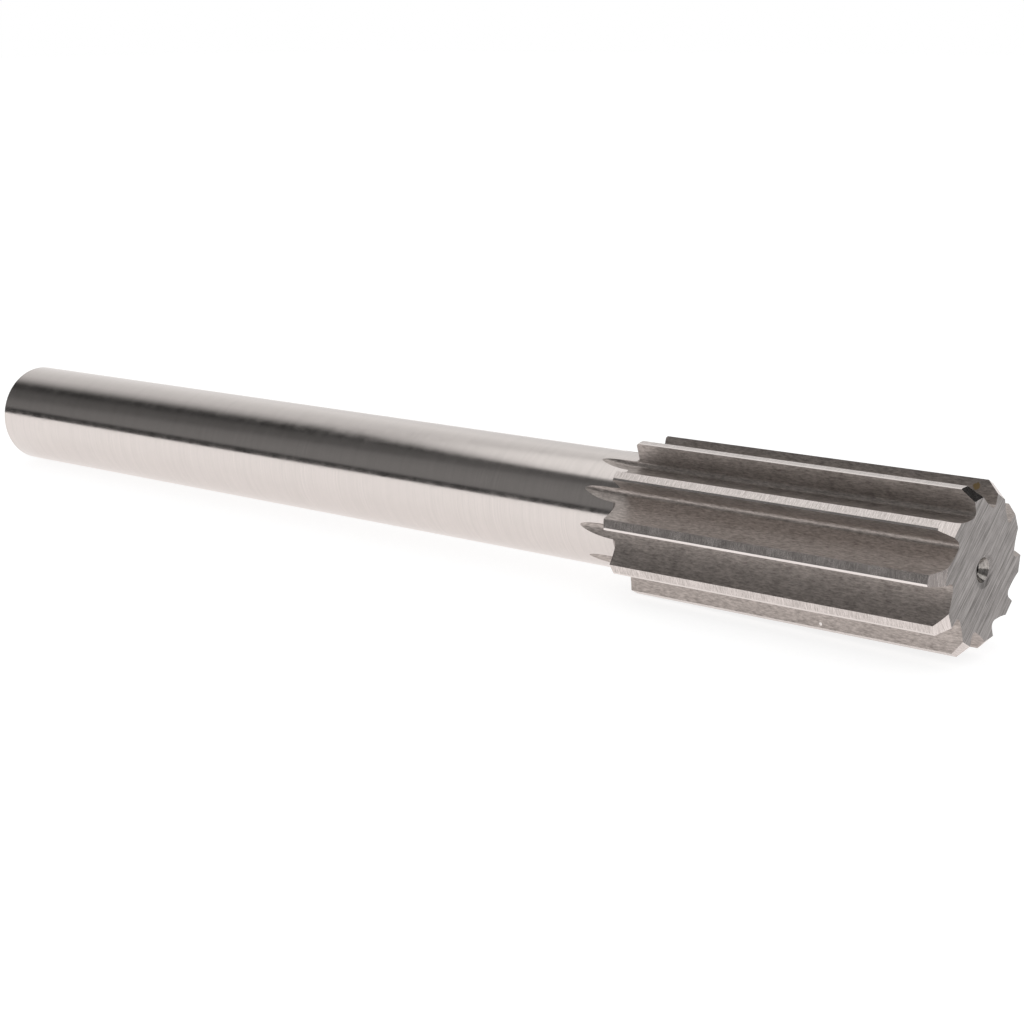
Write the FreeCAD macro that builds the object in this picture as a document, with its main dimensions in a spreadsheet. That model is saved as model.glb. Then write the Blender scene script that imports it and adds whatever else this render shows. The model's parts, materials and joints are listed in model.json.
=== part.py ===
"""Machine reamer: one piece of high-speed steel with a plain round shank.

The tool is turned as one blank, fluted lengthwise with a formed grinding wheel
that runs out over the front of the shank, and relieved behind every cutting
edge. It lies on a flat surface on two neighbouring teeth and on the edge of
its shank's end, with the cutting end towards +X.
"""
import FreeCAD, Part
import enum
import math
import os

import Sketcher
from FreeCAD import Placement, Rotation, Vector

SIZES = {
    # Blank, in millimetres
    "overall_length": 292.1,
    "shank_diameter": 25.4,
    "cutting_diameter": 34.13,
    "flute_length": 79.4,
    "shank_end_chamfer": 0.9,
    "shoulder_fillet": 1.0,
    "heel_chamfer": 0.8,
    "lead_chamfer": 2.4,
    # Centre holes that the blank is turned and ground between
    "centre_mouth": 7.8,
    "centre_cone_angle": 60.0,
    "pilot_diameter": 4.8,
    "pilot_depth": 9.0,
    "pilot_point_angle": 118.0,
    # Teeth, each with a radial rake face
    "tooth_count": 10,
    "core_diameter": 23.8,
    "flute_root_radius": 1.1,
    "tooth_back_radius": 15.0,
    "margin_width": 0.45,
    "land_width": 2.2,
    "land_relief": 0.3,
    "lead_relief_angle": 8.0,
    # Wheel that grinds the flutes and leaves their run-out in the shank
    "wheel_diameter": 76.0,
    # How far every cut passes outside the steel that it removes
    "cut_clearance": 1.0,
}

RADIUS = "(Sizes.cutting_diameter / 2)"
SHANK_RADIUS = "(Sizes.shank_diameter / 2)"
CORE_RADIUS = "(Sizes.core_diameter / 2)"
CUT_RADIUS = f"({RADIUS} + Sizes.cut_clearance)"
HEAD_START = "(Sizes.overall_length - Sizes.flute_length)"
PITCH = "(360 / Sizes.tooth_count)"
MARGIN_RISE = f"sqrt({RADIUS} ^ 2 - Sizes.margin_width ^ 2)"
HEEL_RISE = f"sqrt(({RADIUS} - Sizes.land_relief) ^ 2 - Sizes.land_width ^ 2)"
CONE_DEPTH = ("((Sizes.centre_mouth - Sizes.pilot_diameter) / 2"
              " / tan(Sizes.centre_cone_angle / 2))")
POINT_DEPTH = "(Sizes.pilot_diameter / 2 / tan(Sizes.pilot_point_angle / 2))"



class Vertex(enum.IntEnum):
    """Which point of a sketch line or arc a constraint holds."""

    START = 1
    END = 2
    CENTRE = 3


class Axis(enum.IntEnum):
    """A sketch's own axes, which constraints name by these numbers."""

    ACROSS = -1
    UP = -2


ORIGIN = (Axis.ACROSS, Vertex.START)


def make_sheet(doc):
    """Write the driving dimensions into a spreadsheet, one alias per row."""
    sheet = doc.addObject("Spreadsheet::Sheet", "Sizes")
    for row, (alias, value) in enumerate(SIZES.items(), start=1):
        sheet.set(f"A{row}", alias)
        sheet.set(f"B{row}", str(value))
        sheet.setAlias(f"B{row}", alias)
    doc.recompute()
    return sheet


def worked_out(obj, expression):
    """Return what an expression on the sheet comes to, as a plain number."""
    result = obj.evalExpression(expression)
    return float(getattr(result, "Value", result))


def origin_feature(body, role):
    """Return one of the body's own origin planes or axes."""
    for feature in body.Origin.OriginFeatures:
        if feature.Role == role:
            return feature
    raise RuntimeError(f"{body.Label} has no {role}")


def make_sketch(body, name, role):
    """Add a sketch that lies on one of the body's origin planes."""
    sketch = body.newObject("Sketcher::SketchObject", name)
    sketch.AttachmentSupport = [(origin_feature(body, role), "")]
    sketch.MapMode = "FlatFace"
    return sketch


def bind(sketch, kind, references, expression):
    """Add a dimension and tie it to an expression on the sheet."""
    value = worked_out(sketch, expression)
    index = sketch.addConstraint(Sketcher.Constraint(kind, *references, value))
    sketch.setExpression(f"Constraints[{index}]", expression)


def pin(sketch, vertex, across, up):
    """Hold a vertex at the place that two expressions give."""
    for kind, expression, axis in (("DistanceX", across, Axis.UP), ("DistanceY", up, Axis.ACROSS)):
        if expression == "0":
            sketch.addConstraint(Sketcher.Constraint("PointOnObject", *vertex, axis))
        else:
            bind(sketch, kind, (*ORIGIN, *vertex), expression)


def add_polygon(sketch, corners):
    """Draw a closed outline of straight lines through pinned corners."""
    places = [Vector(worked_out(sketch, across), worked_out(sketch, up), 0) for across, up in corners]
    lines = []
    for number, place in enumerate(places):
        following = places[(number + 1) % len(places)]
        lines.append(sketch.addGeometry(Part.LineSegment(place, following), False))
    for number, line in enumerate(lines):
        following = lines[(number + 1) % len(lines)]
        sketch.addConstraint(Sketcher.Constraint("Coincident", line, Vertex.END, following, Vertex.START))
        pin(sketch, (line, Vertex.START), *corners[number])


def circle_edge(shape, along, radius):
    """Return the name of the round edge at a place on the axis."""
    for number, edge in enumerate(shape.Edges, start=1):
        curve = edge.Curve
        if not isinstance(curve, Part.Circle):
            continue
        if abs(curve.Center.x - along) < 1e-6 and abs(curve.Radius - radius) < 1e-6:
            return f"Edge{number}"
    raise RuntimeError(f"no round edge of radius {radius} at {along}")


def dress_edge(doc, body, kind, name, edge_place, size_alias):
    """Put a fillet or a chamfer on one round edge of what is built so far."""
    base = body.Tip
    along, radius = (worked_out(base, expression) for expression in edge_place)
    feature = body.newObject(f"PartDesign::{kind}", name)
    feature.Base = (base, [circle_edge(base.Shape, along, radius)])
    feature.setExpression("Radius" if kind == "Fillet" else "Size", f"Sizes.{size_alias}")
    doc.recompute()
    return feature


def turn_blank(doc, body):
    """Turn the shank and the head from one bar, with their broken edges."""
    sketch = make_sketch(body, "BlankProfile", "XZ_Plane")
    add_polygon(sketch, [
        ("0", "0"),
        ("0", SHANK_RADIUS),
        (HEAD_START, SHANK_RADIUS),
        (HEAD_START, RADIUS),
        ("Sizes.overall_length", RADIUS),
        ("Sizes.overall_length", "0"),
    ])
    blank = body.newObject("PartDesign::Revolution", "Blank")
    blank.Profile = sketch
    blank.ReferenceAxis = (sketch, ["H_Axis"])
    blank.Angle = 360
    doc.recompute()
    dress_edge(doc, body, "Fillet", "ShoulderFillet", (HEAD_START, SHANK_RADIUS), "shoulder_fillet")
    dress_edge(doc, body, "Chamfer", "HeelChamfer", (HEAD_START, RADIUS), "heel_chamfer")
    dress_edge(doc, body, "Chamfer", "LeadChamfer", ("Sizes.overall_length", RADIUS), "lead_chamfer")
    dress_edge(doc, body, "Chamfer", "ShankEndChamfer", ("0", SHANK_RADIUS), "shank_end_chamfer")


def drill_centres(doc, body):
    """Drill a centre hole into each end: a conical mouth and a pilot."""
    sketch = make_sketch(body, "CentreProfile", "XZ_Plane")
    mouth, pilot = "Sizes.centre_mouth / 2", "Sizes.pilot_diameter / 2"
    steps = [("0", "0"), ("0", mouth), (CONE_DEPTH, pilot), ("Sizes.pilot_depth", pilot),
             (f"Sizes.pilot_depth + {POINT_DEPTH}", "0")]
    add_polygon(sketch, steps)
    add_polygon(sketch, [(f"Sizes.overall_length - ({along})", across) for along, across in steps])
    centres = body.newObject("PartDesign::Groove", "CentreHoles")
    centres.Profile = sketch
    centres.ReferenceAxis = (sketch, ["H_Axis"])
    centres.Angle = 360
    doc.recompute()


def draw_flute(doc, body):
    """Draw one flute across the axis, where the wheel starts to run out.

    A straight radial rake face is followed by the root arc and by the long
    concave back of the next tooth, which passes through that tooth's heel.
    """
    sketch = make_sketch(body, "FluteProfile", "YZ_Plane")
    sketch.setExpression("AttachmentOffset.Base.z", HEAD_START)
    cut_radius, core = worked_out(sketch, CUT_RADIUS), worked_out(sketch, CORE_RADIUS)
    root, back = SIZES["flute_root_radius"], SIZES["tooth_back_radius"]
    heel_across = f"(Sizes.land_width * cos({PITCH}) - {HEEL_RISE} * sin({PITCH}))"
    heel_up = f"(Sizes.land_width * sin({PITCH}) + {HEEL_RISE} * cos({PITCH}))"
    heel = Vector(worked_out(sketch, heel_across), worked_out(sketch, heel_up), 0)

    root_centre = Vector(-root, math.sqrt((core + root) ** 2 - root ** 2), 0)
    back_centre = inner_tangent_centre(root_centre, root, heel, back)
    touch = back_centre + (root_centre - back_centre).normalize() * back
    outer = heel * (cut_radius / heel.Length)
    normal = Vector(0, 0, 1)
    top = Vector(0, cut_radius, 0)

    rake = sketch.addGeometry(Part.LineSegment(top, Vector(0, root_centre.y, 0)), False)
    root_arc = sketch.addGeometry(Part.ArcOfCircle(
        Part.Circle(root_centre, normal, root), angle_of(touch - root_centre), 2 * math.pi), False)
    back_arc = sketch.addGeometry(Part.ArcOfCircle(
        Part.Circle(back_centre, normal, back), angle_of(outer - back_centre),
        angle_of(touch - back_centre)), False)
    rim = sketch.addGeometry(Part.ArcOfCircle(
        Part.Circle(Vector(), normal, cut_radius), math.pi / 2, angle_of(outer)), False)
    heel_point = sketch.addGeometry(Part.Point(heel), True)

    for constraint in (
        ("PointOnObject", rake, Vertex.START, Axis.UP),
        ("PointOnObject", rake, Vertex.END, Axis.UP),
        ("Tangent", rake, Vertex.END, root_arc, Vertex.END),
        ("Tangent", root_arc, Vertex.START, back_arc, Vertex.END),
        ("Coincident", back_arc, Vertex.START, rim, Vertex.END),
        ("Coincident", rim, Vertex.START, rake, Vertex.START),
        ("Coincident", rim, Vertex.CENTRE, *ORIGIN),
        ("PointOnObject", heel_point, Vertex.START, back_arc),
    ):
        sketch.addConstraint(Sketcher.Constraint(*constraint))
    bind(sketch, "Radius", (root_arc,), "Sizes.flute_root_radius")
    bind(sketch, "Radius", (back_arc,), "Sizes.tooth_back_radius")
    bind(sketch, "Radius", (rim,), CUT_RADIUS)
    bind(sketch, "Distance", (*ORIGIN, root_arc, Vertex.CENTRE), f"{CORE_RADIUS} + Sizes.flute_root_radius")
    pin(sketch, (heel_point, Vertex.START), heel_across, heel_up)
    add_wheel_axis(sketch)
    doc.recompute()
    return sketch


def add_wheel_axis(sketch):
    """Draw the grinding wheel's axis, which the run-out turns about."""
    height = f"{CORE_RADIUS} + Sizes.wheel_diameter / 2"
    level, reach = worked_out(sketch, height), worked_out(sketch, RADIUS)
    axis = sketch.addGeometry(
        Part.LineSegment(Vector(-reach, level, 0), Vector(reach, level, 0)), True)
    sketch.addConstraint(Sketcher.Constraint("Horizontal", axis))
    pin(sketch, (axis, Vertex.START), f"-{RADIUS}", height)
    bind(sketch, "DistanceX", (*ORIGIN, axis, Vertex.END), RADIUS)


def inner_tangent_centre(root_centre, root, heel, back):
    """Centre the arc that passes the heel and takes the root arc inside it."""
    span = heel - root_centre
    reach = back - root
    along = (reach ** 2 - back ** 2 + span.Length ** 2) / (2 * span.Length)
    aside = math.sqrt(reach ** 2 - along ** 2)
    direction = Vector(span).normalize()
    side = Vector(direction.y, -direction.x, 0)
    choices = [root_centre + direction * along + side * aside * turn for turn in (1, -1)]
    return max(choices, key=lambda centre: centre.Length)


def angle_of(vector):
    """Return a vector's direction in its plane, from 0 to a full turn."""
    return math.atan2(vector.y, vector.x) % (2 * math.pi)


def grind_flute(doc, body):
    """Grind one flute along the head, and its run-out into the shank."""
    sketch = draw_flute(doc, body)
    flute = body.newObject("PartDesign::Pocket", "Flute")
    flute.Profile = sketch
    flute.Reversed = True
    flute.setExpression("Length", "Sizes.flute_length + Sizes.cut_clearance")
    doc.recompute()
    run_out = body.newObject("PartDesign::Groove", "FluteRunOut")
    run_out.Profile = sketch
    run_out.ReferenceAxis = (sketch, ["Axis0"])
    run_out.Angle = 90
    doc.recompute()
    return [flute, run_out]


def relieve_land(doc, body):
    """Relieve the land behind its narrow round margin, along the head."""
    sketch = make_sketch(body, "LandReliefProfile", "YZ_Plane")
    sketch.setExpression("AttachmentOffset.Base.z", f"{HEAD_START} - Sizes.cut_clearance")
    slope = f"({MARGIN_RISE} - {HEEL_RISE}) / (Sizes.land_width - Sizes.margin_width)"
    past_heel = "(Sizes.land_width + Sizes.cut_clearance)"
    add_polygon(sketch, [
        ("Sizes.margin_width", MARGIN_RISE),
        (past_heel, f"{HEEL_RISE} - Sizes.cut_clearance * {slope}"),
        (past_heel, CUT_RADIUS),
        ("Sizes.margin_width", CUT_RADIUS),
    ])
    relief = body.newObject("PartDesign::Pocket", "LandRelief")
    relief.Profile = sketch
    relief.Reversed = True
    relief.setExpression("Length", "Sizes.flute_length + 2 * Sizes.cut_clearance")
    doc.recompute()
    return relief


def relieve_lead(doc, body):
    """Relieve the leading chamfer of one tooth behind its cutting edge.

    The sketch stands square across that slanting edge, at its middle.
    """
    sketch = make_sketch(body, "LeadReliefProfile", "YZ_Plane")
    sketch.AttachmentOffset = Placement(Vector(), Rotation(Vector(1, 0, 0), 45))
    sketch.setExpression("AttachmentOffset.Base.y", f"{RADIUS} - Sizes.lead_chamfer / 2")
    sketch.setExpression("AttachmentOffset.Base.z", "Sizes.overall_length - Sizes.lead_chamfer / 2")
    doc.recompute()
    slope = "tan(Sizes.lead_relief_angle)"
    behind = "(2.5 * Sizes.land_width)"
    add_polygon(sketch, [
        ("-Sizes.cut_clearance", f"Sizes.cut_clearance * {slope}"),
        (behind, f"-{behind} * {slope}"),
        (behind, "2 * Sizes.cut_clearance"),
        ("-Sizes.cut_clearance", "2 * Sizes.cut_clearance"),
    ])
    relief = body.newObject("PartDesign::Pocket", "LeadRelief")
    relief.Profile = sketch
    relief.SideType = "Symmetric"
    relief.setExpression("Length", "3 * Sizes.lead_chamfer")
    doc.recompute()
    return relief


def cut_teeth(doc, body):
    """Cut one flute with its reliefs, and repeat it round the tool."""
    cuts = grind_flute(doc, body)
    cuts.append(relieve_land(doc, body))
    cuts.append(relieve_lead(doc, body))
    volumes = [cut.Shape.Volume for cut in cuts]
    before = cuts[0].BaseFeature.Shape.Volume
    for cut, volume in zip(cuts, volumes):
        print(f"{cut.Label} takes off {before - volume:.3f} mm3")
        if before - volume <= 0:
            raise RuntimeError(f"{cut.Label} cuts nothing")
        before = volume
    pattern = body.newObject("PartDesign::PolarPattern", "Teeth")
    pattern.Originals = cuts
    pattern.Axis = (origin_feature(body, "X_Axis"), [""])
    pattern.Angle = 360
    pattern.setExpression("Occurrences", "Sizes.tooth_count")
    body.Tip = pattern
    doc.recompute()


def lay_down(body):
    """Lay the tool on two teeth's heels and on the edge of its shank's end."""
    half_pitch = worked_out(body, f"{PITCH} / 2")
    tooth_drop = worked_out(body, f"{RADIUS} * cos({PITCH} / 2)")
    shank_drop = worked_out(body, SHANK_RADIUS)
    from_edge = worked_out(body, "Sizes.shank_end_chamfer")
    to_heel = worked_out(body, f"{HEAD_START} + Sizes.heel_chamfer")
    tilt = math.degrees(math.atan2(tooth_drop - shank_drop, to_heel - from_edge))
    turned = Rotation(Vector(1, 0, 0), 180 - half_pitch)
    leaned = Rotation(Vector(0, 1, 0), -tilt)
    body.Placement = Placement(Vector(), leaned * turned)
    box = body.Shape.optimalBoundingBox(False, False)
    middle = (box.XMin + box.XMax) / 2
    across = (box.YMin + box.YMax) / 2
    body.Placement = Placement(Vector(-middle, -across, -box.ZMin), leaned * turned)
    print(f"leans {tilt:.4f} deg, axis starts at {body.Placement.Base}")


def make_reamer(doc):
    """Build the whole tool as one body."""
    body = doc.addObject("PartDesign::Body", "Reamer")
    body.Label = "reamer"
    turn_blank(doc, body)
    drill_centres(doc, body)
    cut_teeth(doc, body)
    lay_down(body)
    doc.recompute()
    return body


def check_document(doc, body):
    """Stop if any object failed or the solid isn't one sound piece."""
    for obj in doc.Objects:
        faults = {"Invalid", "Error"} & set(obj.State)
        if faults:
            raise RuntimeError(f"{obj.Label} is {sorted(faults)}")
    shape = body.Shape
    if shape.isNull() or not shape.isValid():
        raise RuntimeError(f"{body.Label} has no sound shape")
    if len(shape.Solids) != 1:
        raise RuntimeError(f"{body.Label} is {len(shape.Solids)} solids")
    box = shape.optimalBoundingBox(False, False)
    print(f"{body.Label}: {shape.Volume:.1f} mm3, {len(shape.Faces)} faces, "
          f"{box.XLength:.3f} x {box.YLength:.3f} x {box.ZLength:.3f} mm")


def main():
    """Build, check and write the reamer."""
    doc = FreeCAD.newDocument("MachineReamer")
    make_sheet(doc)
    body = make_reamer(doc)
    check_document(doc, body)
    os.makedirs("parts", exist_ok=True)
    body.Shape.exportStep(f"parts/{body.Label}.step")


main()
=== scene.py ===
# %% [markdown]
# # A machine reamer in ground high-speed steel
# The reamer is one solid: a long round shank, and a fluted head that cuts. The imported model
# gives its place and its main sizes. This file makes the surface again with clean edges and
# even faces, because mirror-like steel shows every facet, and then gives each ground face
# the finish that its own grinding wheel leaves.

import json
import math

import bmesh
import bpy
from mathutils import Matrix, Vector


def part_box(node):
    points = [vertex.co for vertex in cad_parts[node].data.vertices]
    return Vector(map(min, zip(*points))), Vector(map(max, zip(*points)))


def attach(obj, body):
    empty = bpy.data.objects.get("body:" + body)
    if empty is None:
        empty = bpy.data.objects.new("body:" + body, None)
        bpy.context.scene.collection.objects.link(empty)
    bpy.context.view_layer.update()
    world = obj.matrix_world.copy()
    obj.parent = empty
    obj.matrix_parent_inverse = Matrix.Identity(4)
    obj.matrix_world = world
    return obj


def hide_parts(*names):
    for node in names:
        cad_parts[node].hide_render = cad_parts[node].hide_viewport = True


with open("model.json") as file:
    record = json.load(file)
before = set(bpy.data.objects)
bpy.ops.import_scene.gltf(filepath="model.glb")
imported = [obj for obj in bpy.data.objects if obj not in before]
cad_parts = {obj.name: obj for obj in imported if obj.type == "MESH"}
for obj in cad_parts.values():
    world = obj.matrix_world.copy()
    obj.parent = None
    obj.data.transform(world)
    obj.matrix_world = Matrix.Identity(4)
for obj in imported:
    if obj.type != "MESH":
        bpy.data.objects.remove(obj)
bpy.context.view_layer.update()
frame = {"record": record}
record = frame["record"]
mounts = {mount["name"]: mount for mount in record["mounts"]}

# %% [markdown]
# ## The sizes
# The record's two centre holes mark the ends of the tool's axis, and its shank mount gives
# the shank's radius. The box is as wide as the head. The rest are the sizes that a toolmaker
# would write on the drawing of the teeth. All are in metres.

# %% Read the axis and the sizes
MM = 0.001
rear_end = Vector(mounts["rear_centre"]["pos_m"])
front_end = Vector(mounts["front_centre"]["pos_m"])
axis_direction = (front_end - rear_end).normalized()
OVERALL = (front_end - rear_end).length
SHANK_RADIUS = mounts["shank"]["dims"]["r_mm"] * MM
head_low, head_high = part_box("reamer")
HEAD_RADIUS = (head_high[1] - head_low[1]) / 2
TEETH = 10
PITCH = 2 * math.pi / TEETH

FLUTE_LENGTH = 78.1 * MM
SHANK_END_CHAMFER = 0.9 * MM
SHOULDER_FILLET = 1.0 * MM
HEEL_CHAMFER = 0.4 * MM
LEAD_CHAMFER = 2.4 * MM
LEAD_RELIEF = math.tan(math.radians(8))
CORE_RADIUS = 11.9 * MM
ROOT_RADIUS = 1.1 * MM
BACK_RADIUS = 15.0 * MM
MARGIN_WIDTH = 0.45 * MM
LAND_WIDTH = 2.2 * MM
LAND_RELIEF = 0.3 * MM
WHEEL_RADIUS = 55.0 * MM
RECESS_RADIUS = 3.6 * MM
RECESS_DEPTH = 0.3 * MM
CENTRE_MOUTH = 2.45 * MM
PILOT_RADIUS = 1.5 * MM
PILOT_DEPTH = 6.5 * MM
CONE_DEPTH = RECESS_DEPTH + (CENTRE_MOUTH - PILOT_RADIUS) / math.tan(math.radians(30))
POINT_DEPTH = PILOT_RADIUS / math.tan(math.radians(59))
# Each step of a centre hole, as its depth and its radius
CENTRE_HOLE = [
    (0.0, RECESS_RADIUS),
    (RECESS_DEPTH, CENTRE_MOUTH),
    (CONE_DEPTH, PILOT_RADIUS),
    (PILOT_DEPTH, PILOT_RADIUS),
    (PILOT_DEPTH + POINT_DEPTH, 0.0),
]
HEAD_START = OVERALL - FLUTE_LENGTH
print(f"tool {OVERALL / MM:.1f} mm long, head {HEAD_RADIUS * 2 / MM:.2f} mm, "
      f"shank {SHANK_RADIUS * 2 / MM:.1f} mm")

# %% [markdown]
# ## One flute in section
# A flute is the gap between two teeth: a straight face that points at the tool's axis and
# does the cutting, a small root arc, and a long shallow arc up the back of the next tooth.
# Drawing it as two tangent arcs, instead of a hand-placed curve, keeps it the shape that a
# dressed grinding wheel has. In the section, x runs round the tool and y away from the axis,
# and the cutting edge is straight up.

# %% Draw the flute's section as a chain of points
RAKE_POINTS, ROOT_POINTS, BACK_POINTS = 40, 160, 320
MARGIN_UP = math.sqrt(HEAD_RADIUS ** 2 - MARGIN_WIDTH ** 2)
HEEL_UP = math.sqrt((HEAD_RADIUS - LAND_RELIEF) ** 2 - LAND_WIDTH ** 2)


def turned(point, angle):
    """Turn a section point round the tool's axis, in the direction of the cut."""
    x, y = point
    return Vector((x * math.cos(angle) + y * math.sin(angle), y * math.cos(angle) - x * math.sin(angle)))


def arc_points(centre, radius, start, stop, count):
    """Return points along an arc, its ends included."""
    steps = [start + (stop - start) * step / count for step in range(count + 1)]
    return [centre + radius * Vector((math.cos(angle), math.sin(angle))) for angle in steps]


def flute_section():
    """Return the flute's outline from the cutting edge to the next tooth's heel."""
    heel = turned((-LAND_WIDTH, HEEL_UP), PITCH)
    root_centre = Vector((ROOT_RADIUS, math.sqrt((CORE_RADIUS + ROOT_RADIUS) ** 2 - ROOT_RADIUS ** 2)))
    span = heel - root_centre
    reach = BACK_RADIUS - ROOT_RADIUS
    along = (reach ** 2 - BACK_RADIUS ** 2 + span.length_squared) / (2 * span.length)
    aside = math.sqrt(reach ** 2 - along ** 2)
    forward = span.normalized()
    sideways = Vector((-forward.y, forward.x))
    centres = [root_centre + forward * along + sideways * aside * sign for sign in (1, -1)]
    back_centre = max(centres, key=lambda centre: centre.length)
    touch = root_centre - back_centre
    touch_angle = math.atan2(touch.y, touch.x) % (2 * math.pi)
    heel_from_back = heel - back_centre
    heel_angle = math.atan2(heel_from_back.y, heel_from_back.x) % (2 * math.pi)
    fall = root_centre.y - HEAD_RADIUS
    rake = [Vector((0, HEAD_RADIUS + fall * step / RAKE_POINTS)) for step in range(RAKE_POINTS)]
    root = arc_points(root_centre, ROOT_RADIUS, math.pi, touch_angle, ROOT_POINTS)
    back = arc_points(back_centre, BACK_RADIUS, touch_angle, heel_angle, BACK_POINTS)
    return rake + root + back[1:]


FLUTE = flute_section()
LOWEST = min(FLUTE, key=lambda point: point.length)
print(f"flute section: {len(FLUTE)} points, deepest {LOWEST.length / MM:.2f} mm from the axis")

# %% [markdown]
# ## Where the wheel leaves the steel
# The grinding wheel cannot stop dead at the end of the head, so it lifts out along its own
# circle and leaves a tapering tongue in the shank. A point of the wheel that is nearer to the
# wheel's axle rises faster, so every point of the section moves on its own circle.

# %% Lift the section and cut it off at a radius
AXLE_UP = CORE_RADIUS + WHEEL_RADIUS


def lifted_flute(before_head):
    """Return the flute's section at a distance before the head, where the wheel has risen."""
    if before_head <= 0:
        return FLUTE
    lifted = []
    for point in FLUTE:
        arm = AXLE_UP - point.y
        if arm > before_head:
            lifted.append(Vector((point.x, AXLE_UP - math.sqrt(arm ** 2 - before_head ** 2))))
    return lifted


def crossing(first, second, radius):
    """Return the point between two neighbours that lies at a radius."""
    share = (radius - first.length) / (second.length - first.length)
    return first.lerp(second, share)


def below(section, radius):
    """Return the part of a section that is deeper than a radius, with both its ends on it."""
    deep = [number for number, point in enumerate(section) if point.length < radius]
    if not deep:
        return []
    first, last = deep[0], deep[-1]
    inside = section[first:last + 1]
    if first > 0:
        inside = [crossing(section[first - 1], section[first], radius)] + inside
    if last < len(section) - 1:
        inside = inside + [crossing(section[last], section[last + 1], radius)]
    return inside


def spread(points, count):
    """Space points evenly along a chain, its ends included."""
    if len(points) == 1:
        return points * (count + 1)
    lengths = [0.0]
    for first, second in zip(points, points[1:]):
        lengths.append(lengths[-1] + (second - first).length)
    spaced, place = [], 0
    for step in range(count + 1):
        target = lengths[-1] * step / count
        while place < len(points) - 2 and lengths[place + 1] < target:
            place += 1
        span = lengths[place + 1] - lengths[place]
        share = (target - lengths[place]) / span if span else 0.0
        spaced.append(points[place].lerp(points[place + 1], min(max(share, 0.0), 1.0)))
    return spaced


rise = SHANK_RADIUS - CORE_RADIUS
TONGUE = math.sqrt(WHEEL_RADIUS ** 2 - (WHEEL_RADIUS - rise) ** 2)
TIP_ANGLE = math.atan2(LOWEST.x, LOWEST.y)
print(f"each tongue reaches {TONGUE / MM:.1f} mm into the shank")

# %% [markdown]
# ## One tenth of the tool
# The tool repeats ten times round its axis, so only one flute and one tooth are modelled,
# from the rear end to the front face. It could be cut out with booleans, but those leave
# long thin faces that spoil a reflection. Here rings of points are laid where each edge of
# the real tool runs, and neighbouring rings are joined by even four-sided faces. Each face
# remembers its zone, a number that says which operation made it.
#
# A row round a tooth has the same columns everywhere: up the tooth's back, across the relieved
# land and the margin, and down the rake face. The back and the rake face are each split at the
# radius of the shoulder fillet's top, so that the rows on both sides of the rear face share
# their points and the skin has no gaps.

# %% Name the zones and the columns
SHANK, FLUTED, LAND, MARGIN, LEAD, FACE, CENTRE, TURNED = range(8)
FLOOR_COLUMNS = 48
FLANK_FOOT, FLANK_TOP = 4, 10
FLANK_COLUMNS = FLANK_FOOT + FLANK_TOP
RELIEF_COLUMNS = 18
MARGIN_COLUMNS = 6
RAKE_TOP, RAKE_FOOT = 5, 2
RAKE_COLUMNS = RAKE_TOP + RAKE_FOOT
OUTER_COLUMNS = RELIEF_COLUMNS + MARGIN_COLUMNS
TOOTH_COLUMNS = FLANK_COLUMNS + OUTER_COLUMNS + RAKE_COLUMNS


def tooth_zones(outer_zones):
    """Return a tooth row's zones: its flanks are fluted, and its outer columns vary."""
    return [FLUTED] * FLANK_COLUMNS + outer_zones + [FLUTED] * RAKE_COLUMNS


class Sector:
    """One repeat of the tool, gathered face by face."""

    def __init__(self):
        self.points = []
        self.faces = []
        self.zones = []

    def ring(self, points):
        """Add a row of points, each as (along the axis, round, up), and return its numbers."""
        first = len(self.points)
        self.points.extend(points)
        return list(range(first, len(self.points)))

    def strip(self, lower, upper, zones):
        """Join two rows, column by column."""
        for column, zone in enumerate(zones):
            self.faces.append((lower[column], lower[column + 1], upper[column + 1], upper[column]))
            self.zones.append(zone)

    def plate(self, outline, zone):
        """Close an outline with one flat face."""
        self.faces.append(tuple(outline))
        self.zones.append(zone)


def at(along, section):
    """Stand a row of section points at a distance along the axis."""
    return [(along, point.x, point.y) for point in section]


def circle_row(radius, start, stop, count):
    """Return section points along a circle about the tool's axis, by angle from straight up."""
    angles = [start + (stop - start) * step / count for step in range(count + 1)]
    return [Vector((radius * math.sin(angle), radius * math.cos(angle))) for angle in angles]


def heading(point):
    """Return a section point's angle from straight up."""
    return math.atan2(point.x, point.y)


# %% [markdown]
# ### Rings for the shank
# Behind the tongues a ring is a plain circle. Beside a tongue the circle is open where the
# flute's floor crosses it, and in the fillet at the foot of the head its radius grows.

# %% Lay the tooth rows and the floor rows of the shank
def sides(section, radius):
    """Return a section's two sides from the shank's radius up to another: back and rake."""
    floor, wide = below(section, SHANK_RADIUS), below(section, radius)
    first, last = floor[0], floor[-1]
    back = [point for point in wide if heading(point) > heading(last)]
    rake = [point for point in wide if heading(point) < heading(first) and point.length > first.length]
    return [last, *back], [*rake, first]


def tooth_row(along, radius):
    """Return the row round one tooth at a radius, with its flanks down to the shank's radius."""
    back, rake = sides(lifted_flute(HEAD_START - along), radius)
    flank = [*spread(back, FLANK_FOOT), *[back[-1]] * FLANK_TOP]
    face = [turned(point, PITCH) for point in [*[rake[0]] * RAKE_TOP, *spread(rake, RAKE_FOOT)]]
    outer = circle_row(radius, heading(flank[-1]), heading(face[0]), OUTER_COLUMNS)
    return at(along, [*flank[:-1], *outer, *face[1:]])


def floor_row(along):
    """Return the row across one flute's floor, up to the shank's radius on both sides."""
    return at(along, spread(below(lifted_flute(HEAD_START - along), SHANK_RADIUS), FLOOR_COLUMNS))


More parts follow.
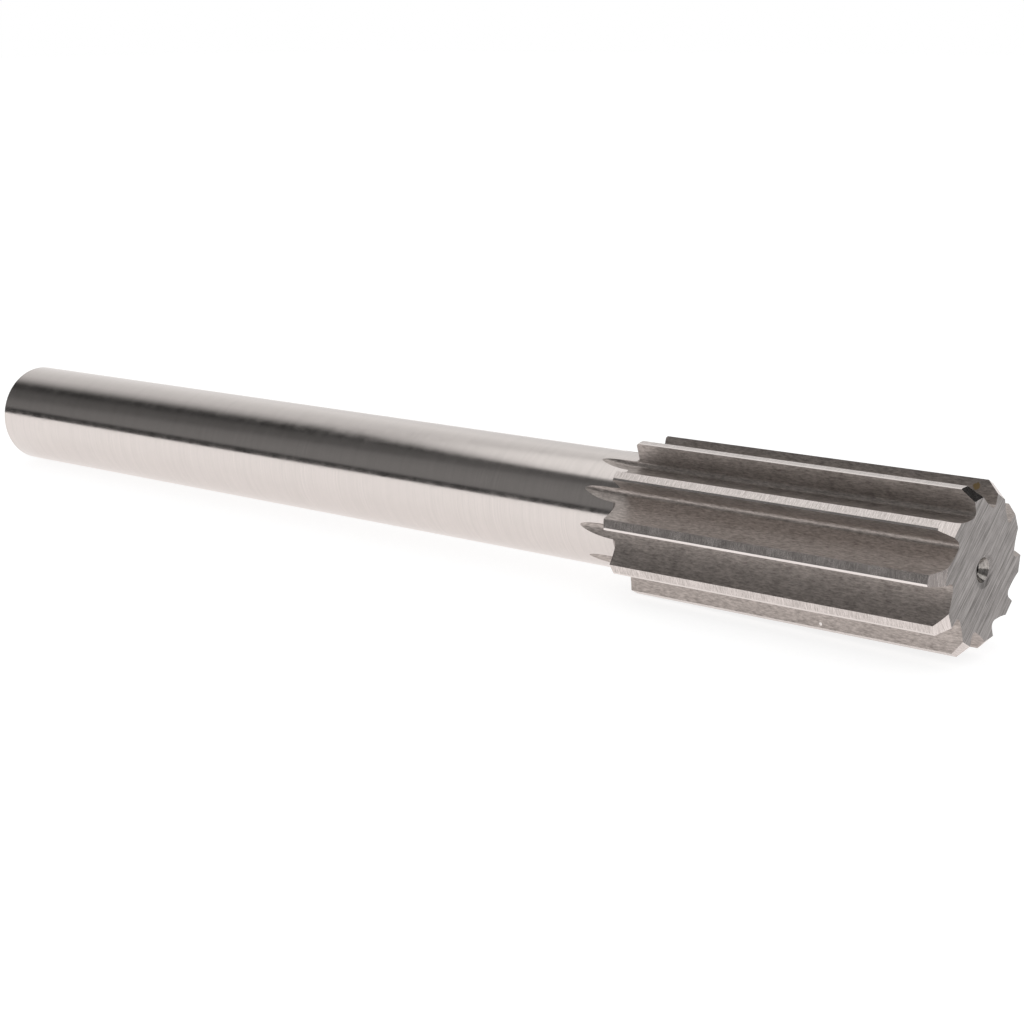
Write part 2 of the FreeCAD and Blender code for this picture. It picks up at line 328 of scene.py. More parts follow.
def plain_row(along, radius):
    """Return a plain circle's share, laid in the tooth's columns."""
    outer = circle_row(radius, TIP_ANGLE, TIP_ANGLE + PITCH, OUTER_COLUMNS)
    return at(along, [outer[0]] * FLANK_COLUMNS + outer + [outer[-1]] * RAKE_COLUMNS)


print(f"{TOOTH_COLUMNS} columns round a tooth and {FLOOR_COLUMNS} across a flute")

# %% [markdown]
# ### Rings for the head
# The land behind the cutting edge has two parts: a narrow margin that is truly round and a
# relieved flat behind it. The leading chamfer is relieved too, so it is a flat that tilts
# away from the cutting edge. Each ring below lies along a real edge of those faces.

# %% Lay the head's rows
TOP_OF_LAND = [
    *[Vector((-LAND_WIDTH, HEEL_UP)).lerp(Vector((-MARGIN_WIDTH, MARGIN_UP)), step / RELIEF_COLUMNS)
      for step in range(RELIEF_COLUMNS)],
    *circle_row(HEAD_RADIUS, -math.asin(MARGIN_WIDTH / HEAD_RADIUS), 0, MARGIN_COLUMNS),
]


FOOT_RADIUS = SHANK_RADIUS + SHOULDER_FILLET
BACK_FOOT, RAKE_FACE_FOOT = sides(FLUTE, FOOT_RADIUS)


def head_row(outer, flank_top, along_outer, along_foot):
    """Return a row round one tooth of the head, from flank to rake face."""
    back = [point for point in FLUTE
            if FOOT_RADIUS < point.length < flank_top.length and heading(point) > PITCH / 4]
    flank = [*spread(BACK_FOOT, FLANK_FOOT)[:-1], *spread([BACK_FOOT[-1], *back, flank_top], FLANK_TOP)]
    rake = [*spread([outer[-1], RAKE_FACE_FOOT[0]], RAKE_TOP)[:-1], *spread(RAKE_FACE_FOOT, RAKE_FOOT)]
    row = []
    for step, point in enumerate(flank[:-1]):
        share = max(0.0, (step - FLANK_FOOT) / FLANK_TOP)
        row.append((along_foot + (along_outer[0] - along_foot) * share, point.x, point.y))
    rest = [*zip(outer, along_outer), *((point, along_foot) for point in rake[1:])]
    for point, along in rest:
        placed = turned(point, PITCH)
        row.append((along, placed.x, placed.y))
    return row


def heel_bottom_row():
    """Return the row where the head's rear face meets its heel chamfer."""
    radius = HEAD_RADIUS - HEEL_CHAMFER
    flank_top = below(FLUTE, radius)[-1]
    start = heading(flank_top) - PITCH
    outer = circle_row(radius, start, 0, OUTER_COLUMNS)
    return head_row(outer, flank_top, [HEAD_START] * (OUTER_COLUMNS + 1), HEAD_START)


def heel_top_row():
    """Return the row where the heel chamfer meets the land."""
    foot = HEAD_START + HEEL_CHAMFER
    along = [foot - (HEAD_RADIUS - point.length) for point in TOP_OF_LAND]
    return head_row(TOP_OF_LAND, FLUTE[-1], along, foot)


def lead_along(point):
    """Return where the leading chamfer's flat meets a section point, along the axis."""
    return OVERALL - LEAD_CHAMFER + (HEAD_RADIUS - point.y) + math.sqrt(2) * LEAD_RELIEF * point.x


def lead_row(share):
    """Return a row across the leading chamfer, from its start, 0, to the front face, 1."""
    foot = OVERALL - LEAD_CHAMFER * (1 - share)
    if share == 0:
        return head_row(TOP_OF_LAND, FLUTE[-1], [lead_along(point) for point in TOP_OF_LAND], foot)
    heel_along = lead_along(TOP_OF_LAND[0])
    corner_along = heel_along + (OVERALL - heel_along) * share
    corner = flank_at_lead(corner_along)
    heel = turned(corner, -PITCH)
    edge = Vector((0, HEAD_RADIUS - LEAD_CHAMFER * share))
    shares = [step / OUTER_COLUMNS for step in range(OUTER_COLUMNS + 1)]
    outer = [heel.lerp(edge, step) for step in shares]
    along = [corner_along + (foot - corner_along) * step for step in shares]
    return head_row(outer, corner, along, foot)


def flank_at_lead(along):
    """Return the point of a tooth's back that the leading chamfer's flat meets at a distance."""
    flank = [point for point in FLUTE if heading(point) > PITCH / 4]
    for first, second in zip(flank, flank[1:]):
        over = [lead_along(turned(point, -PITCH)) - along for point in (first, second)]
        if over[0] >= 0 > over[1]:
            return first.lerp(second, over[0] / (over[0] - over[1]))
    return flank[-1]


print(f"land of {len(TOP_OF_LAND)} points, heel {LAND_RELIEF / MM:.2f} mm under the cutting edge")

# %% Join the rows into one sector
TONGUE_ROWS = 28
FILLET_ROWS = 12
LEAD_ROWS = 8
TIP_CROWDING = 1.6


def tongue_stations():
    """Return the places of the rings beside a tongue, closer together near its tip."""
    tip = HEAD_START - TONGUE
    end = HEAD_START - SHOULDER_FILLET
    return [tip + (end - tip) * (step / TONGUE_ROWS) ** TIP_CROWDING for step in range(TONGUE_ROWS + 1)]


def fillet_stations():
    """Return the places and radii of the rings up the fillet at the foot of the head."""
    stations = []
    for step in range(1, FILLET_ROWS + 1):
        angle = math.pi / 2 * step / FILLET_ROWS
        along = HEAD_START - SHOULDER_FILLET * (1 - math.sin(angle))
        stations.append((along, SHANK_RADIUS + SHOULDER_FILLET * (1 - math.cos(angle))))
    return stations


def build_sector():
    """Return one tenth of the tool as points, faces and zones."""
    sector = Sector()
    floor_zones = [FLUTED] * FLOOR_COLUMNS
    shank_zones = [SHANK] * TOOTH_COLUMNS
    turned_zones = tooth_zones([TURNED] * OUTER_COLUMNS)
    land_zones = tooth_zones([LAND] * RELIEF_COLUMNS + [MARGIN] * MARGIN_COLUMNS)
    lead_zones = tooth_zones([LEAD] * OUTER_COLUMNS)
    rear_rings = [(depth, radius, CENTRE if depth else FACE) for depth, radius in reversed(CENTRE_HOLE)]
    rear_rings += [(0.0, SHANK_RADIUS - SHANK_END_CHAMFER, FACE), (SHANK_END_CHAMFER, SHANK_RADIUS, TURNED)]
    tip, *stations = tongue_stations()
    rear_rings.append((tip, SHANK_RADIUS, SHANK))
    tooth = None
    for along, radius, zone in rear_rings:
        row = sector.ring(plain_row(along, radius))
        if tooth:
            sector.strip(tooth, row, [zone] * TOOTH_COLUMNS)
        tooth = row
    floor = sector.ring(at(tip, circle_row(SHANK_RADIUS, TIP_ANGLE, TIP_ANGLE, FLOOR_COLUMNS)))

    def advance(tooth_points, zones, along):
        """Join the next tooth row and the next floor row to the last ones."""
        nonlocal tooth, floor
        row = sector.ring(tooth_points)
        sector.strip(tooth, row, zones)
        floor_now = sector.ring(floor_row(along))
        sector.strip(floor, floor_now, floor_zones)
        tooth, floor = row, floor_now

    for along in stations:
        advance(tooth_row(along, SHANK_RADIUS), shank_zones, along)
    for along, radius in fillet_stations():
        advance(tooth_row(along, radius), turned_zones, along)
    tooth = rear_face(sector, tooth)
    advance(heel_top_row(), turned_zones, HEAD_START + HEEL_CHAMFER)
    for step in range(LEAD_ROWS + 1):
        share = step / LEAD_ROWS
        along = OVERALL - LEAD_CHAMFER * (1 - share)
        advance(lead_row(share), lead_zones if step else land_zones, along)
    front_face(sector, tooth, floor)
    return sector


# %% [markdown]
# ### The flat faces
# The rear face of a tooth and the front face of the tool are flat, and their outlines are
# not simple to split into even rows. A single many-sided face is right there, because a
# flat face has no curvature for a reflection to show.

# %% Close the flat faces
def rear_face(sector, shank_side):
    """Close one tooth's rear face and return the row round its outer edge."""
    row = sector.ring(heel_bottom_row())
    foot = shank_side[FLANK_COLUMNS:FLANK_COLUMNS + OUTER_COLUMNS + 1]
    edge = row[FLANK_FOOT + 1:FLANK_COLUMNS + OUTER_COLUMNS + RAKE_TOP]
    sector.plate([*reversed(foot), *edge], TURNED)
    return row


def front_face(sector, tooth, floor):
    """Close the front face, and drill the centre hole behind it."""
    start = math.atan2(*sector.points[floor[0]][1:])
    rings = [sector.ring(at(OVERALL - depth, circle_row(radius, start, start + PITCH, OUTER_COLUMNS)))
             for depth, radius in CENTRE_HOLE]
    sector.plate([*floor, *tooth[1:], *reversed(rings[0])], FACE)
    for previous, row in zip(rings, rings[1:]):
        zone = FACE if previous is rings[0] else CENTRE
        sector.strip(previous, row, [zone] * OUTER_COLUMNS)


sector = build_sector()
print(f"one sector: {len(sector.points)} points, {len(sector.faces)} faces")

# %% [markdown]
# ## Repeat the sector round the axis
# Ten equal teeth follow one rule, so Geometry Nodes repeat them: points carry copies of the
# sector, each turned by its own number times the pitch. The copies are made real, their
# shared edges are welded, and each zone takes its material, so that the result is one closed
# skin.

# %% Turn the sector into a mesh
SAME_POINT = 2e-7
NO_LENGTH = 1e-8


def sector_mesh(sector):
    """Return the sector as a mesh whose faces carry their zone."""
    mesh = bpy.data.meshes.new("reamer_sector")
    mesh.from_pydata([(x, -across, up) for x, across, up in sector.points], [], sector.faces)
    zones = mesh.attributes.new("zone", "INT", "FACE")
    zones.data.foreach_set("value", sector.zones)
    work = bmesh.new()
    work.from_mesh(mesh)
    bmesh.ops.remove_doubles(work, verts=work.verts, dist=SAME_POINT)
    bmesh.ops.dissolve_degenerate(work, edges=work.edges, dist=NO_LENGTH)
    work.to_mesh(mesh)
    work.free()
    return mesh


seed_mesh = sector_mesh(sector)
print(f"sector mesh: {len(seed_mesh.vertices)} vertices, {len(seed_mesh.polygons)} faces")


# %% Build the node tree that repeats it
def new_socket(tree, name, kind, way="INPUT", value=None):
    """Add a named input or output to a node tree and return its identifier."""
    socket = tree.interface.new_socket(name=name, in_out=way, socket_type=kind)
    if value is not None:
        socket.default_value = value
    return socket.identifier


def repeat_tree(zone_materials):
    """Return a tree that repeats a shape round the X axis and gives each zone its material."""
    tree = bpy.data.node_groups.new("repeat round the axis", "GeometryNodeTree")
    inputs = {
        "Geometry": new_socket(tree, "Geometry", "NodeSocketGeometry"),
        "Teeth": new_socket(tree, "Teeth", "NodeSocketInt", value=TEETH),
        "First Angle": new_socket(tree, "First Angle", "NodeSocketFloat", value=0.0),
        "Weld Distance": new_socket(tree, "Weld Distance", "NodeSocketFloat", value=1e-6),
    }
    new_socket(tree, "Geometry", "NodeSocketGeometry", "OUTPUT")
    nodes, link = tree.nodes, tree.links.new
    source = nodes.new("NodeGroupInput")
    points = nodes.new("GeometryNodePoints")
    index = nodes.new("GeometryNodeInputIndex")
    step = nodes.new("ShaderNodeMath")
    step.operation = "DIVIDE"
    step.inputs[0].default_value = 2 * math.pi
    turn = nodes.new("ShaderNodeMath")
    turn.operation = "MULTIPLY_ADD"
    rotation = nodes.new("FunctionNodeAxisAngleToRotation")
    rotation.inputs["Axis"].default_value = (1, 0, 0)
    copies = nodes.new("GeometryNodeInstanceOnPoints")
    real = nodes.new("GeometryNodeRealizeInstances")
    weld = nodes.new("GeometryNodeMergeByDistance")
    link(source.outputs["Teeth"], points.inputs["Count"])
    link(source.outputs["Teeth"], step.inputs[1])
    link(index.outputs["Index"], turn.inputs[0])
    link(step.outputs[0], turn.inputs[1])
    link(source.outputs["First Angle"], turn.inputs[2])
    link(turn.outputs[0], rotation.inputs["Angle"])
    link(points.outputs[0], copies.inputs["Points"])
    link(source.outputs["Geometry"], copies.inputs["Instance"])
    link(rotation.outputs[0], copies.inputs["Rotation"])
    link(copies.outputs[0], real.inputs[0])
    link(real.outputs[0], weld.inputs["Geometry"])
    link(source.outputs["Weld Distance"], weld.inputs["Distance"])
    zone = nodes.new("GeometryNodeInputNamedAttribute")
    zone.data_type = "INT"
    zone.inputs["Name"].default_value = "zone"
    geometry = weld.outputs["Geometry"]
    for number, material in zone_materials.items():
        same = nodes.new("FunctionNodeCompare")
        same.data_type = "INT"
        same.operation = "EQUAL"
        paint = nodes.new("GeometryNodeSetMaterial")
        paint.inputs["Material"].default_value = material
        integer_inputs = [socket for socket in same.inputs if socket.type == "INT"]
        link(zone.outputs["Attribute"], integer_inputs[0])
        integer_inputs[1].default_value = number
        link(same.outputs["Result"], paint.inputs["Selection"])
        link(geometry, paint.inputs["Geometry"])
        geometry = paint.outputs["Geometry"]
    sink = nodes.new("NodeGroupOutput")
    link(geometry, sink.inputs["Geometry"])
    return tree, inputs


# %% [markdown]
# ## Finishes
# One steel, several surfaces. The shank is cylindrically ground and nearly a mirror, the
# flutes keep a dull brown-grey from grinding and hardening, and the lands, margins, chamfers
# and faces are sharpened bright again, with fine lines that follow the wheel. The grinding
# lines are one shared node group, because only their direction, scale and strength differ.

# %% Shared node groups
def add_node(tree, kind, **settings):
    """Add a node and set its properties."""
    node = tree.nodes.new(kind)
    for name, value in settings.items():
        setattr(node, name, value)
    return node


def colour_sockets(sockets):
    """Return the sockets of a Mix node that carry colours."""
    return [socket for socket in sockets if socket.type == "RGBA"]


def math_node(tree, operation, first, second=None, third=None):
    """Add a Math node on sockets or plain numbers and return its output."""
    node = add_node(tree, "ShaderNodeMath", operation=operation)
    for socket, value in zip(node.inputs, (first, second, third)):
        if value is None:
            continue
        if isinstance(value, (int, float)):
            socket.default_value = value
        else:
            tree.links.new(value, socket)
    return node.outputs[0]


def fade(tree, value, low, high):
    """Return a smooth mask that rises from 0 to 1 as a value passes from low to high."""
    node = add_node(tree, "ShaderNodeMapRange", interpolation_type="SMOOTHSTEP")
    node.inputs["From Min"].default_value = low
    node.inputs["From Max"].default_value = high
    tree.links.new(value, node.inputs["Value"])
    return node.outputs[0]


def grinding_group():
    """Return a group that makes fine straight lines, stretched along its vector's X."""
    tree = bpy.data.node_groups.new("grinding lines", "ShaderNodeTree")
    new_socket(tree, "Vector", "NodeSocketVector")
    new_socket(tree, "Lines per mm", "NodeSocketFloat", value=6.0)
    new_socket(tree, "Line Length mm", "NodeSocketFloat", value=20.0)
    new_socket(tree, "Lines", "NodeSocketFloat", "OUTPUT")
    new_socket(tree, "Patches", "NodeSocketFloat", "OUTPUT")
    source = tree.nodes.new("NodeGroupInput")
    sink = tree.nodes.new("NodeGroupOutput")
    link = tree.links.new
    parts = tree.nodes.new("ShaderNodeSeparateXYZ")
    link(source.outputs["Vector"], parts.inputs[0])
    along = math_node(tree, "DIVIDE", parts.outputs["X"], source.outputs["Line Length mm"])
    across = math_node(tree, "MULTIPLY", parts.outputs["Y"], source.outputs["Lines per mm"])
    depth = math_node(tree, "MULTIPLY", parts.outputs["Z"], source.outputs["Lines per mm"])
    joined = tree.nodes.new("ShaderNodeCombineXYZ")
    for value, name in ((along, "X"), (across, "Y"), (depth, "Z")):
        link(value, joined.inputs[name])
    lines = add_node(tree, "ShaderNodeTexNoise", noise_dimensions="3D")
    lines.inputs["Scale"].default_value = 1.0
    lines.inputs["Detail"].default_value = 6.0
    lines.inputs["Roughness"].default_value = 0.75
    link(joined.outputs[0], lines.inputs["Vector"])
    patches = add_node(tree, "ShaderNodeTexNoise", noise_dimensions="3D")
    patches.inputs["Scale"].default_value = 0.35
    patches.inputs["Detail"].default_value = 3.0
    link(source.outputs["Vector"], patches.inputs["Vector"])
    link(lines.outputs["Fac"], sink.inputs["Lines"])
    link(patches.outputs["Fac"], sink.inputs["Patches"])
    return tree


GRINDING = grinding_group()
print("groups:", [group.name for group in bpy.data.node_groups])


# %% A helper that builds a ground steel
AXIS_LEAN = math.asin(axis_direction.z)
AXIS_HEIGHT = (Matrix.Rotation(AXIS_LEAN, 3, "Y") @ rear_end).z / MM
ROUND = "round"


def wrapped(tree, vector):
    """Return a vector whose X runs round the tool's axis in mm, Y along it and Z away from it."""
    parts = tree.nodes.new("ShaderNodeSeparateXYZ")
    tree.links.new(vector, parts.inputs[0])
    x, y, z = parts.outputs
    angle = math_node(tree, "ARCTAN2", y, z)
    away = math_node(tree, "SQRT", math_node(tree, "MULTIPLY_ADD", y, y, math_node(tree, "MULTIPLY", z, z)))
    joined = tree.nodes.new("ShaderNodeCombineXYZ")
    for value, socket in zip((math_node(tree, "MULTIPLY", angle, HEAD_RADIUS / MM), x, away), joined.inputs):
        tree.links.new(value, socket)
    return joined.outputs[0]


def spotted(tree, colour, vector, place, radius, paint):
    """Return a colour with a small ragged mark round a place, in metres."""
    link = tree.links.new
    away = add_node(tree, "ShaderNodeVectorMath", operation="DISTANCE")
    away.inputs[1].default_value = place
    link(vector, away.inputs[0])
    ragged = tree.nodes.new("ShaderNodeTexNoise")
    ragged.inputs["Scale"].default_value = 1800.0
    link(vector, ragged.inputs["Vector"])
    reach = math_node(tree, "MULTIPLY", math_node(tree, "ADD", ragged.outputs["Fac"], 0.3), radius)
    inside = math_node(tree, "SUBTRACT", reach, away.outputs["Value"])
    mask = fade(tree, inside, -0.15 * radius, 0.25 * radius)
    mixed = add_node(tree, "ShaderNodeMix", data_type="RGBA")
    under, over = colour_sockets(mixed.inputs)
    link(mask, mixed.inputs["Factor"])
    link(colour, under)
    over.default_value = (*paint, 1)
    return colour_sockets(mixed.outputs)[0]


LINE_SHARE = 0.85
CONTRAST_FROM, CONTRAST_TO = 0.35, 0.62
ROUGHNESS_SPREAD = 0.08
RELIEF_DEPTH = 0.00002


def ground_steel(name, tone, shade, roughness, lines, bump, turn=(0.0, 0.0, 0.0), spots=()):
    """Return a steel whose tone, gloss and relief follow its grinding lines.

    tone and shade are the light and dark colour, lines is (per mm, length in mm), and turn
    sets the lines' direction from along the tool, or ROUND for lines round its axis. spots
    lists small marks, each as its place, its radius and its colour.
    """
    material = bpy.data.materials.new(name)
    material.use_nodes = True
    tree = material.node_tree
    link = tree.links.new
    steel = tree.nodes["Principled BSDF"]
    steel.inputs["Metallic"].default_value = 1.0
    place = tree.nodes.new("ShaderNodeTexCoord")
    straighten = tree.nodes.new("ShaderNodeMapping")
    straighten.inputs["Rotation"].default_value = (0.0, AXIS_LEAN, 0.0)
    straighten.inputs["Scale"].default_value = (1 / MM, 1 / MM, 1 / MM)
    straighten.inputs["Location"].default_value = (0.0, 0.0, -AXIS_HEIGHT)
    link(place.outputs["Object"], straighten.inputs["Vector"])
    if turn == ROUND:
        aimed = wrapped(tree, straighten.outputs[0])
    else:
        aim = tree.nodes.new("ShaderNodeMapping")
        aim.inputs["Rotation"].default_value = turn
        link(straighten.outputs[0], aim.inputs["Vector"])
        aimed = aim.outputs[0]
    grinding = tree.nodes.new("ShaderNodeGroup")
    grinding.node_tree = GRINDING
    grinding.inputs["Lines per mm"].default_value = lines[0]
    grinding.inputs["Line Length mm"].default_value = lines[1]
    link(aimed, grinding.inputs["Vector"])
    colour = add_node(tree, "ShaderNodeMix", data_type="RGBA")
    blend = math_node(tree, "ADD", math_node(tree, "MULTIPLY", grinding.outputs["Lines"], LINE_SHARE),
                      math_node(tree, "MULTIPLY", grinding.outputs["Patches"], 1 - LINE_SHARE))
    contrast = tree.nodes.new("ShaderNodeMapRange")
    contrast.inputs["From Min"].default_value = CONTRAST_FROM
    contrast.inputs["From Max"].default_value = CONTRAST_TO
    link(blend, contrast.inputs["Value"])
    link(contrast.outputs[0], colour.inputs["Factor"])
    dark, light = colour_sockets(colour.inputs)
    dark.default_value = (*shade, 1)
    light.default_value = (*tone, 1)
    colour_out = colour_sockets(colour.outputs)[0]
    for spot, radius, paint in spots:
        colour_out = spotted(tree, colour_out, place.outputs["Object"], spot, radius, paint)
    link(colour_out, steel.inputs["Base Color"])
    gloss = tree.nodes.new("ShaderNodeMapRange")
    gloss.inputs["To Min"].default_value = roughness - ROUGHNESS_SPREAD
    gloss.inputs["To Max"].default_value = roughness + ROUGHNESS_SPREAD
    link(grinding.outputs["Patches"], gloss.inputs["Value"])
    link(gloss.outputs[0], steel.inputs["Roughness"])
    relief = tree.nodes.new("ShaderNodeBump")
    relief.inputs["Strength"].default_value = bump
    relief.inputs["Distance"].default_value = RELIEF_DEPTH
    link(grinding.outputs["Lines"], relief.inputs["Height"])
    link(relief.outputs["Normal"], steel.inputs["Normal"])
    return material


FACE_LINES = (math.radians(-42), 0.0, math.radians(90))
ALONG = (0.0, 0.0, 0.0)
# Each mark's place, radius and colour: a stain by a rake face, and a nick in the lowest tooth whose
# near-white colour is a painted highlight, the glint of its chipped edge
STAIN = ((0.14115, 0.00482, 0.03256), 0.0009, (0.40, 0.30, 0.16))
NICK_AND_GLINT = ((0.11505, -0.00723, 0.00294), 0.0004, (1.0, 0.98, 0.96))
# Each zone's name, light colour, dark colour, roughness, lines, bump and direction of lines
FINISHES = {
    SHANK: ("shank_mirror_ground", (0.74, 0.70, 0.68), (0.66, 0.63, 0.61), 0.14, (5.0, 60.0), 0.05, ROUND),
    FLUTED: ("flute_dull_ground", (0.62, 0.57, 0.54), (0.26, 0.235, 0.22), 0.46, (3.0, 1.3), 0.6, ALONG),
    LAND: ("land_cross_ground", (0.82, 0.77, 0.75), (0.46, 0.43, 0.41), 0.25, (4.0, 8.0), 0.22, ROUND),
    MARGIN: ("margin_bright_ground", (0.86, 0.82, 0.80), (0.74, 0.70, 0.68), 0.20, (8.0, 10.0), 0.1, ALONG),
    LEAD: ("lead_chamfer_ground", (0.82, 0.77, 0.75), (0.54, 0.50, 0.48), 0.20, (4.0, 8.0), 0.15, ROUND),
    FACE: ("end_face_ground", (0.42, 0.405, 0.40), (0.11, 0.105, 0.10), 0.42, (2.4, 12.0), 1.0, FACE_LINES),
    CENTRE: ("centre_hole_drilled", (0.50, 0.48, 0.46), (0.20, 0.19, 0.18), 0.22, (3.0, 8.0), 0.15, ROUND),
    TURNED: ("turned_edge", (0.50, 0.46, 0.44), (0.28, 0.25, 0.24), 0.36, (6.0, 20.0), 0.4, ROUND),
}
# The flute steel carries the stain and the nick, and the nick's white spot is a painted highlight
STEELS = {zone: ground_steel(*finish, spots=(STAIN, NICK_AND_GLINT) if zone == FLUTED else ())
          for zone, finish in FINISHES.items()}
print("finishes:", [material.name for material in STEELS.values()])

# %% Repeat, weld and place the reamer
SHARP_FROM = math.radians(7)


def make_reamer():
    """Return the finished tool as one plain mesh in its place."""
    seed = bpy.data.objects.new("reamer_seed", seed_mesh)
    bpy.context.scene.collection.objects.link(seed)
    tree, inputs = repeat_tree(STEELS)
    modifier = seed.modifiers.new("Teeth", "NODES")
    modifier.node_group = tree
    modifier[inputs["Teeth"]] = TEETH
    modifier[inputs["First Angle"]] = math.pi - PITCH / 2
    modifier[inputs["Weld Distance"]] = 1e-6
    depsgraph = bpy.context.evaluated_depsgraph_get()
    mesh = bpy.data.meshes.new_from_object(seed.evaluated_get(depsgraph), depsgraph=depsgraph)
    bpy.data.objects.remove(seed)
    side = Vector((0, 1, 0))
    up = axis_direction.cross(side)
    placing = Matrix((axis_direction, side, up)).transposed().to_4x4()
    placing.translation = rear_end
    mesh.transform(placing)
    work = bmesh.new()
    work.from_mesh(mesh)
    bmesh.ops.recalc_face_normals(work, faces=work.faces)
    open_edges = sum(1 for edge in work.edges if not edge.is_manifold)
    volume = work.calc_volume(signed=True)
    work.to_mesh(mesh)
    work.free()
    mesh.shade_smooth()
    mesh.set_sharp_from_angle(angle=SHARP_FROM)
    mesh.name = "reamer_ground"
    piece = bpy.data.objects.new("reamer_ground", mesh)
    bpy.context.scene.collection.objects.link(piece)
    print(f"{len(mesh.vertices)} vertices, {len(mesh.polygons)} faces, "
          f"{open_edges} open edges, {volume * 1e9:.0f} mm3")
    return piece


reamer = make_reamer()
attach(reamer, "root")
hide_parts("reamer")

# %% [markdown]
# ## Floor, light and camera
# Steel is mostly what it reflects, so the world is built for its reflections. Light falls
# from one side and from a box overhead, a dark side draws the long dark band that gives a
# round bar its shape, and a small dark panel makes one chamfer nearly black. The floor shines
# evenly and takes only a faint shadow. The camera sees plain white behind the tool.

# %% The floor
def make_floor():
    """Lay a wide pale floor under the tool."""
    mesh = bpy.data.meshes.new("floor")
    half = 6.0
    corners = [(-half, -half, 0), (half, -half, 0), (half, half, 0), (-half, half, 0)]
    mesh.from_pydata(corners, [], [(0, 1, 2, 3)])
    material = bpy.data.materials.new("floor_white")
    material.use_nodes = True
    tree = material.node_tree
    tree.nodes.remove(tree.nodes["Principled BSDF"])
    matt = tree.nodes.new("ShaderNodeBsdfDiffuse")
    matt.inputs["Color"].default_value = (0.32, 0.32, 0.32, 1)
    glow = tree.nodes.new("ShaderNodeEmission")
    glow.inputs["Strength"].default_value = 0.8
    mirrored = tree.nodes.new("ShaderNodeEmission")
    mirrored.inputs["Color"].default_value = (1.0, 0.95, 0.93, 1)
    mirrored.inputs["Strength"].default_value = 0.76
    rays = tree.nodes.new("ShaderNodeLightPath")
    seen = tree.nodes.new("ShaderNodeMixShader")
    total = tree.nodes.new("ShaderNodeAddShader")
    link = tree.links.new
    link(rays.outputs["Is Camera Ray"], seen.inputs["Fac"])
    link(mirrored.outputs[0], seen.inputs[1])
    link(glow.outputs[0], seen.inputs[2])
    link(matt.outputs[0], total.inputs[0])
    link(seen.outputs[0], total.inputs[1])
    link(total.outputs[0], tree.nodes["Material Output"].inputs["Surface"])
    mesh.materials.append(material)
    floor = bpy.data.objects.new("floor", mesh)
    bpy.context.scene.collection.objects.link(floor)
    return floor


floor = make_floor()


# %% The world
# The level of light across the tool, from its near side at 0 to its far side at 1
ACROSS_LEVELS = [
    (0.0, 0.22), (0.19, 0.20), (0.25, 0.17), (0.285, 0.11), (0.345, 0.09), (0.405, 0.036), (0.44, 0.045),
    (0.47, 0.13), (0.54, 0.46), (0.605, 0.64), (0.70, 0.74), (0.80, 0.86), (0.90, 0.74), (1.0, 0.70),
]

# Where each band starts and ends, as parts of a direction of length one
NEAR_SIDE = (0.12, 0.22)
SKYLINE = (0.11, 0.17)
PANEL_FORWARD, PANEL_ASIDE, PANEL_UP = (0.0, 0.18), (0.25, 0.5), (0.15, 0.35)
OVERHEAD_MIDDLE, OVERHEAD_ASIDE, OVERHEAD_UP = 0.05, (0.26, 0.40), (0.62, 0.70)
OVERHEAD_LEAN = 0.1
SKYLINE_LEVEL, PANEL_LEVEL, OVERHEAD_LEVEL = 0.04, 0.01, 1.0


def lit(tree, level, mask, wanted):
    """Return a light level that a mask takes over to a wanted level."""
    change = math_node(tree, "MULTIPLY", mask, math_node(tree, "SUBTRACT", wanted, level))
    return math_node(tree, "ADD", level, change)


def studio_light(tree):
    """Return the light that steel mirrors from each direction."""
    place = tree.nodes.new("ShaderNodeTexCoord")
    parts = tree.nodes.new("ShaderNodeSeparateXYZ")
    tree.links.new(place.outputs["Generated"], parts.inputs[0])
    x, y, z = parts.outputs
    ramp = tree.nodes.new("ShaderNodeValToRGB")
    while len(ramp.color_ramp.elements) < len(ACROSS_LEVELS):
        ramp.color_ramp.elements.new(0.5)
    for element, (position, level) in zip(ramp.color_ramp.elements, ACROSS_LEVELS):
        element.position = position
        element.color = (level, level, level, 1)
    tree.links.new(math_node(tree, "MULTIPLY_ADD", y, 0.5, 0.5), ramp.inputs["Fac"])
    level = ramp.outputs["Color"]
    near_side = fade(tree, math_node(tree, "MULTIPLY", x, y), *NEAR_SIDE)
    low = math_node(tree, "SUBTRACT", 1.0, fade(tree, z, *SKYLINE))
    level = lit(tree, level, math_node(tree, "MULTIPLY", near_side, low), SKYLINE_LEVEL)
    front = math_node(tree, "MULTIPLY", fade(tree, x, *PANEL_FORWARD), fade(tree, y, *PANEL_ASIDE))
    level = lit(tree, level, math_node(tree, "MULTIPLY", front, fade(tree, z, *PANEL_UP)), PANEL_LEVEL)
    leaning = math_node(tree, "MULTIPLY_ADD", x, OVERHEAD_LEAN, z)
    side = math_node(tree, "ABSOLUTE", math_node(tree, "SUBTRACT", y, OVERHEAD_MIDDLE))
    middle = math_node(tree, "SUBTRACT", 1.0, fade(tree, side, *OVERHEAD_ASIDE))
    overhead = math_node(tree, "MULTIPLY", middle, fade(tree, leaning, *OVERHEAD_UP))
    return lit(tree, level, overhead, OVERHEAD_LEVEL)


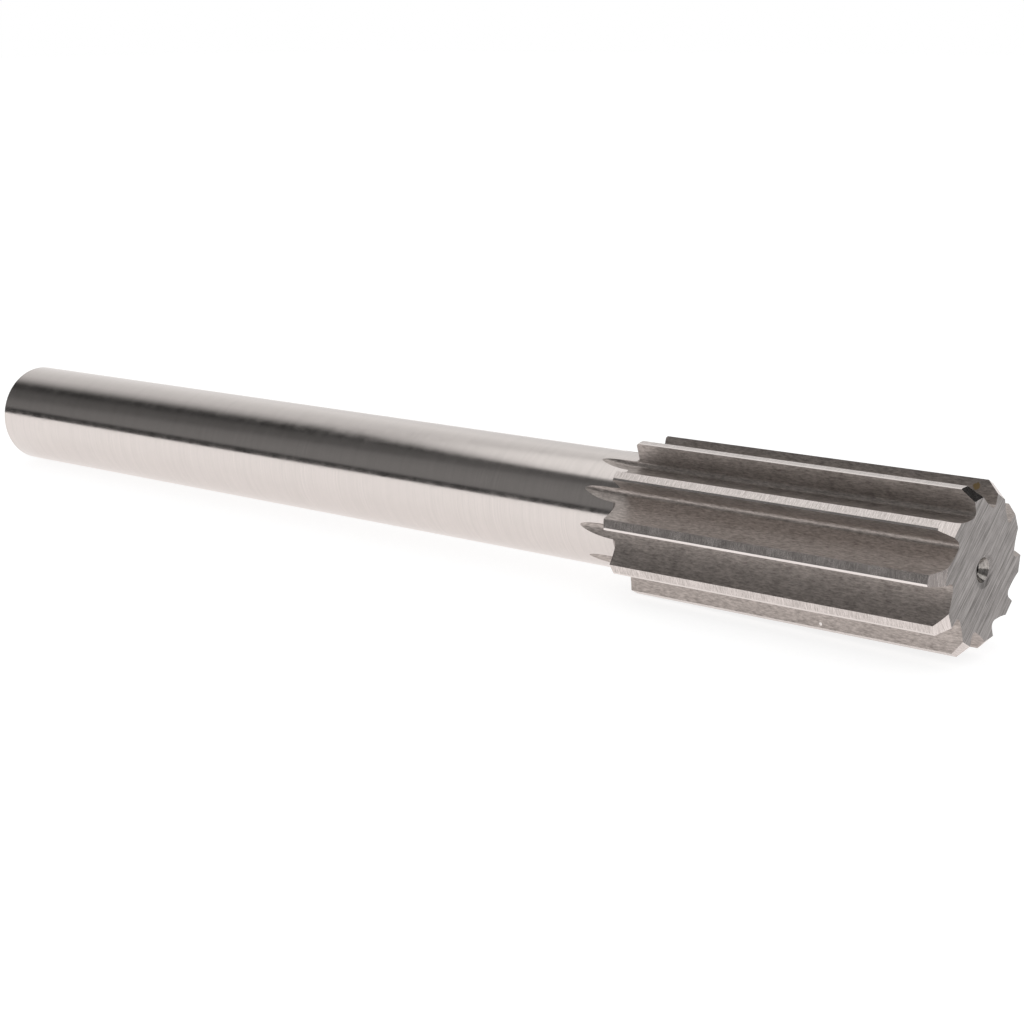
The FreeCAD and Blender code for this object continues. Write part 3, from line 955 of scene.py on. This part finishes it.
def make_world():
    """Make a world that is white to the camera, even to matt faces, and banded in reflections."""
    world = bpy.data.worlds.new("studio")
    bpy.context.scene.world = world
    world.use_nodes = True
    tree = world.node_tree
    link = tree.links.new
    mirrored = tree.nodes["Background"]
    mirrored.inputs["Color"].default_value = (1.0, 0.975, 0.96, 1)
    link(studio_light(tree), mirrored.inputs["Strength"])
    even = tree.nodes.new("ShaderNodeBackground")
    even.inputs["Color"].default_value = (1, 1, 1, 1)
    even.inputs["Strength"].default_value = 0.9
    white = tree.nodes.new("ShaderNodeBackground")
    white.inputs["Color"].default_value = (1, 1, 1, 1)
    white.inputs["Strength"].default_value = 1.0
    rays = tree.nodes.new("ShaderNodeLightPath")
    glossy = tree.nodes.new("ShaderNodeMixShader")
    camera = tree.nodes.new("ShaderNodeMixShader")
    link(rays.outputs["Is Glossy Ray"], glossy.inputs["Fac"])
    link(even.outputs[0], glossy.inputs[1])
    link(mirrored.outputs[0], glossy.inputs[2])
    link(rays.outputs["Is Camera Ray"], camera.inputs["Fac"])
    link(glossy.outputs[0], camera.inputs[1])
    link(white.outputs[0], camera.inputs[2])
    link(camera.outputs[0], tree.nodes["World Output"].inputs["Surface"])


make_world()


# %% The camera
CAMERA_PLACE = Vector((0.3182, -0.33565, 0.11861))
VIEW_AZIMUTH = math.radians(-40.788)
VIEW_FALL = math.radians(13.646)
VIEW_ROLL = math.radians(-0.322)
LENS = 70.91


def make_camera():
    """Stand the camera to the front and right of the tool, and turn it to the view."""
    data = bpy.data.cameras.new("camera")
    data.lens = LENS
    data.sensor_width = 36.0
    data.clip_start = 0.01
    camera = bpy.data.objects.new("camera", data)
    level_share = math.cos(VIEW_FALL)
    forward = Vector((math.sin(VIEW_AZIMUTH) * level_share, math.cos(VIEW_AZIMUTH) * level_share,
                      -math.sin(VIEW_FALL)))
    level = forward.to_track_quat("-Z", "Y").to_matrix()
    turn = (level @ Matrix.Rotation(VIEW_ROLL, 3, "Z")).to_4x4()
    turn.translation = CAMERA_PLACE
    camera.matrix_world = turn
    bpy.context.scene.collection.objects.link(camera)
    bpy.context.scene.camera = camera


make_camera()

# %% The final settings
bpy.context.scene.view_settings.view_transform = "Standard"
